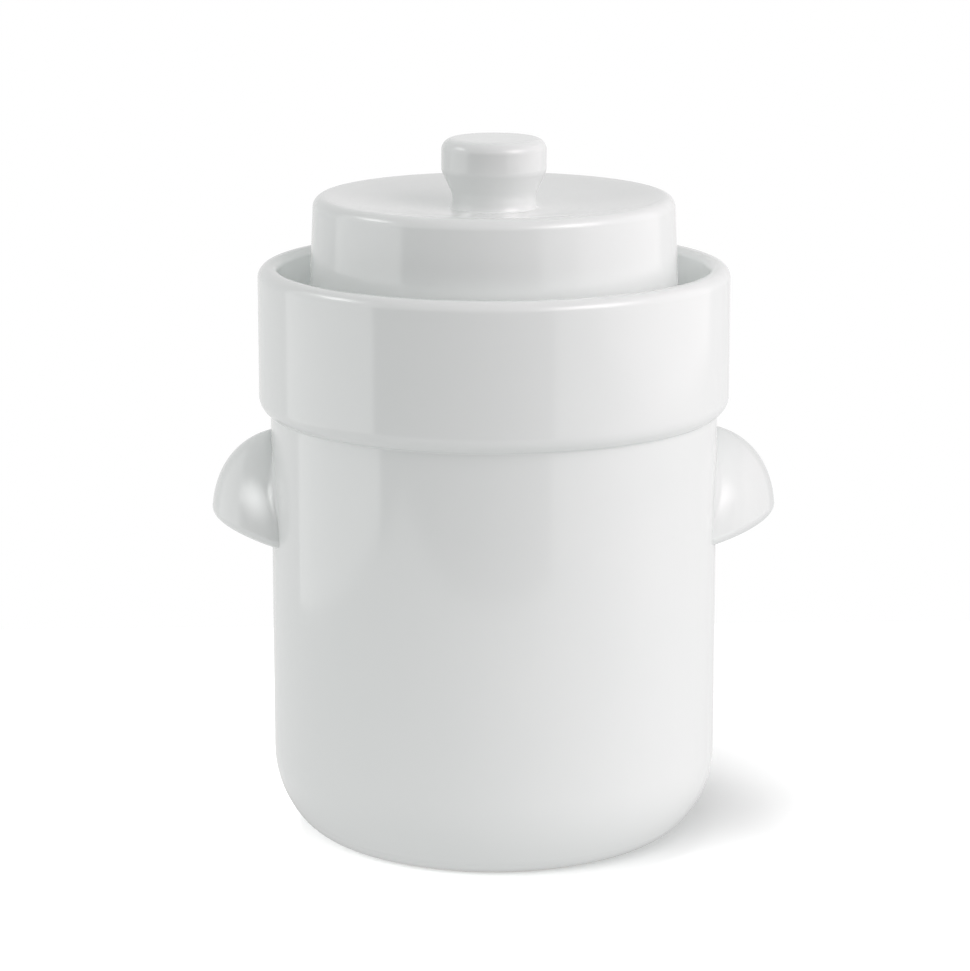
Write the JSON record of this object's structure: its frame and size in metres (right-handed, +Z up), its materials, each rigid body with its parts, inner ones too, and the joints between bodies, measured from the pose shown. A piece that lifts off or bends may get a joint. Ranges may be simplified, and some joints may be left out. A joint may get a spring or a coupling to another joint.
{
  "type": "fermentation crock",
  "caption": "Straight-sided glazed stoneware crock with a water-filled moat around its neck, a lift-off skirted lid with a knob, ear handles and half-moon weight stones inside.",
  "frame": {"origin": "centre of the foot, on the surface that the crock stands on", "axes": "+Z up along the crock's axis, X through the two ear handles, +X towards handle_right"},
  "size_m": [0.2486, 0.206, 0.309],
  "materials": {
    "white_glaze": "glossy white glaze on stoneware",
    "bare_stoneware": "unglazed fired stoneware, matte"
  },
  "bodies": {
    "crock": {"crock_body": "white_glaze", "neck_ring": "white_glaze", "moat_collar": "white_glaze", "handle_left": "white_glaze", "handle_right": "white_glaze"},
    "lid": {"lid_cap": "white_glaze", "lid_knob": "white_glaze"},
    "stone_left": {"weight_stone_left": "bare_stoneware"},
    "stone_right": {"weight_stone_right": "bare_stoneware"}
  },
  "joints": [
    {"name": "lid_lift", "type": "slide", "parent": "crock", "child": "lid", "axis": [0, 0, 1], "range_m": [0, 0.12]},
    {"name": "stone_left_rise", "type": "slide", "parent": "crock", "child": "stone_left", "axis": [0, 0, 1], "range_m": [0, 0.15]},
    {"name": "stone_right_rise", "type": "slide", "parent": "crock", "child": "stone_right", "axis": [0, 0, 1], "range_m": [0, 0.15]}
  ]
}
